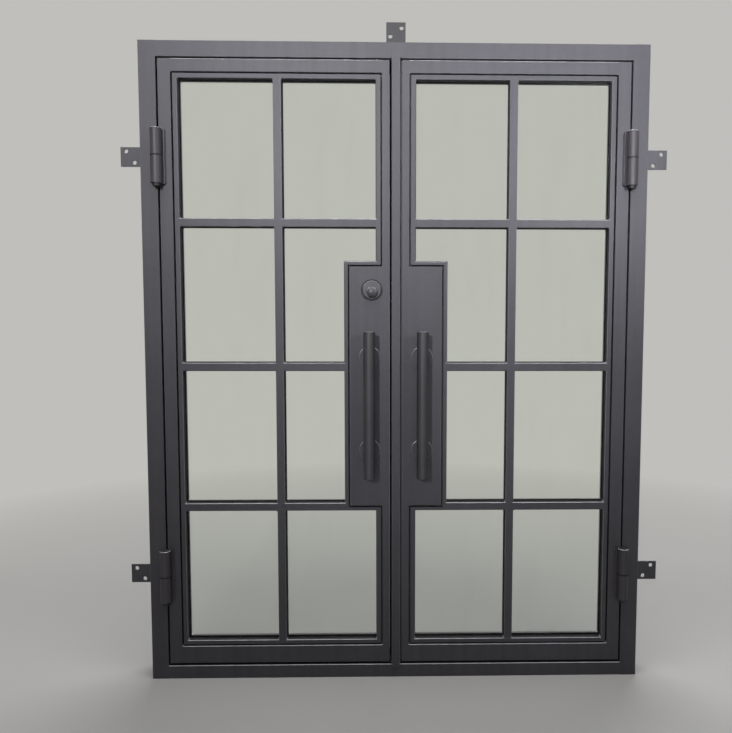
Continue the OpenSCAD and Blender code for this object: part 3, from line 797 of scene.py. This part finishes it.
# floor, light and camera
backdrop = dict(seen=tone(192, 191, 187), soft=tone(232, 236, 242), strength=0.09, near=1.0, far=3.6)
ground = dict(size=80, under=0.0005, cloud=1.3, dark=tone(182, 181, 178), light=tone(192, 191, 188),
              thrown=tone(96, 96, 96), roughness=0.7)


def floorPale():
    f = Finish("floorPale")
    cloud = f.noise(f.spots(), ground["cloud"], 4.0)
    pale = f.blendTone(cloud, ground["dark"], ground["light"])
    body = f.blendTone(f.seenOnly(), ground["thrown"], pale)  # little light is thrown back up
    plain = f.node("ShaderNodeBsdfPrincipled", Roughness=ground["roughness"], Base_Color=body)
    haze = f.node("ShaderNodeEmission", Color=(*backdrop["seen"], 1), Strength=1.0)
    away = f.node("ShaderNodeVectorMath", {"operation": "LENGTH"}, result="Value", Vector=f.spots())
    fade = ((away - backdrop["near"]) / (backdrop["far"] - backdrop["near"])).within()
    f.show(f.node("ShaderNodeMixShader", Fac=fade * f.seenOnly(), n1=plain, n2=haze))
    return f.material


def room():
    clearPick()
    bpy.ops.mesh.primitive_plane_add(size=ground["size"], location=(0, 0, -ground["under"]))
    floor = fresh("floor")
    placeDone(floor)
    floor.data.materials.append(floorPale())
    scene.world = bpy.data.worlds.new("studio")
    scene.world.use_nodes = True
    sky = Shading(scene.world.node_tree, "ShaderNodeOutputWorld")
    soft = sky.node("ShaderNodeBackground", Color=(*backdrop["soft"], 1), Strength=backdrop["strength"])
    seen = sky.node("ShaderNodeBackground", Color=(*backdrop["seen"], 1), Strength=1.0)
    sky.show(sky.node("ShaderNodeMixShader", Fac=sky.seenOnly(), n1=soft, n2=seen))
    return floor


plain = (0.99, 0.985, 1.0)
cool = (0.93, 0.93, 1.0)
lamps = [
    dict(name="overhead", spot=(0.0, -1.0, 3.35), aim=(0.0, -0.5, 1.5), size=(3.4, 1.3), power=60),
    dict(name="rearSoft", spot=(0.4, 1.9, 3.7), aim=(0.0, 0.1, 1.2), size=(3.4, 1.6), power=90),
    dict(name="leftSpot", spot=(-1.3, -6.0, 2.75), aim=(-0.5, 0.0, 2.2), size=(0.22, 0.22), power=11,
         spread=40, tint=cool, spares="noPanes"),
    dict(name="leftTwin", spot=(-1.3, -6.0, 2.75), aim=(0.8, 0.0, 2.2), size=(0.22, 0.22), power=13.5,
         spread=40, tint=cool, spares="noPanes"),
    dict(name="rightSpot", spot=(1.1, -1.75, 1.75), aim=(0.45, 0.0, 2.1), size=(0.1, 0.1), power=8.5,
         spread=90, tint=cool, spares="noPanes"),
    dict(name="lowSoft", spot=(0.0, -3.0, 0.35), aim=(0.0, 0.0, 0.1), size=(2.6, 0.4), power=1.6,
         spread=60, spares="noPanes"),
    dict(name="rearLeft", spot=(-3.6, 3.4, 2.3), aim=(0.0, 0.0, 1.1), size=(1.6, 1.6), power=60,
         spread=80, spares="noFloor"),
    dict(name="rearRight", spot=(3.6, 3.4, 2.3), aim=(0.0, 0.0, 1.1), size=(1.6, 1.6), power=60,
         spread=80, spares="noFloor"),
]


def sparing(name, pieces):
    # a group that a lamp leaves unlit
    group = bpy.data.collections.new(name)
    for piece in pieces:
        group.objects.link(piece)
    for link in group.collection_objects:
        link.light_linking.link_state = "EXCLUDE"
    return group


def lights(floor):
    # the small lamps would stand as bright squares in the panes
    panes = [frame["nodes"][side + "_glass"] for side in ("left", "right")]
    spared = dict(noPanes=sparing("noPanes", panes), noFloor=sparing("noFloor", [*panes, floor]))
    for lamp in lamps:
        data = bpy.data.lights.new(lamp["name"], "AREA")
        data.shape = "RECTANGLE"
        data.size, data.size_y = lamp["size"]
        data.energy = lamp["power"]
        data.spread = math.radians(lamp.get("spread", 180))
        data.color = lamp.get("tint", plain)
        light = bpy.data.objects.new(lamp["name"], data)
        scene.collection.objects.link(light)
        light.location = lamp["spot"]
        aim = Vector(lamp["aim"]) - Vector(lamp["spot"])
        light.rotation_euler = aim.to_track_quat("-Z", "Y").to_euler()
        light.visible_camera = False
        light.visible_transmission = False
        if "spares" in lamp:
            light.light_linking.receiver_collection = spared[lamp["spares"]]


# angles in degrees; focal, frame, centre and middle in pixels of the 732 by 733 picture; sensor in mm
camera = dict(spot=(-0.0135, -2.4581, 1.2434), yaw=1.225, pitch=4.230, roll=-0.088,
              focal=735.0, frame=733, centre=407.5, middle=366, sensor=36)


def photographer():
    data = bpy.data.cameras.new("camera")
    data.sensor_width = camera["sensor"]
    data.lens = camera["focal"] / camera["frame"] * camera["sensor"]
    data.shift_x = (camera["middle"] - camera["centre"]) / camera["frame"]
    lens = bpy.data.objects.new("camera", data)
    scene.collection.objects.link(lens)
    lens.location = camera["spot"]
    turns = (90 - camera["pitch"], camera["roll"], -camera["yaw"])
    lens.rotation_euler = [math.radians(turn) for turn in turns]
    scene.camera = lens


floor = room()
lights(floor)
photographer()
scene.view_settings.view_transform = "Standard"
print("room, lights and camera set")
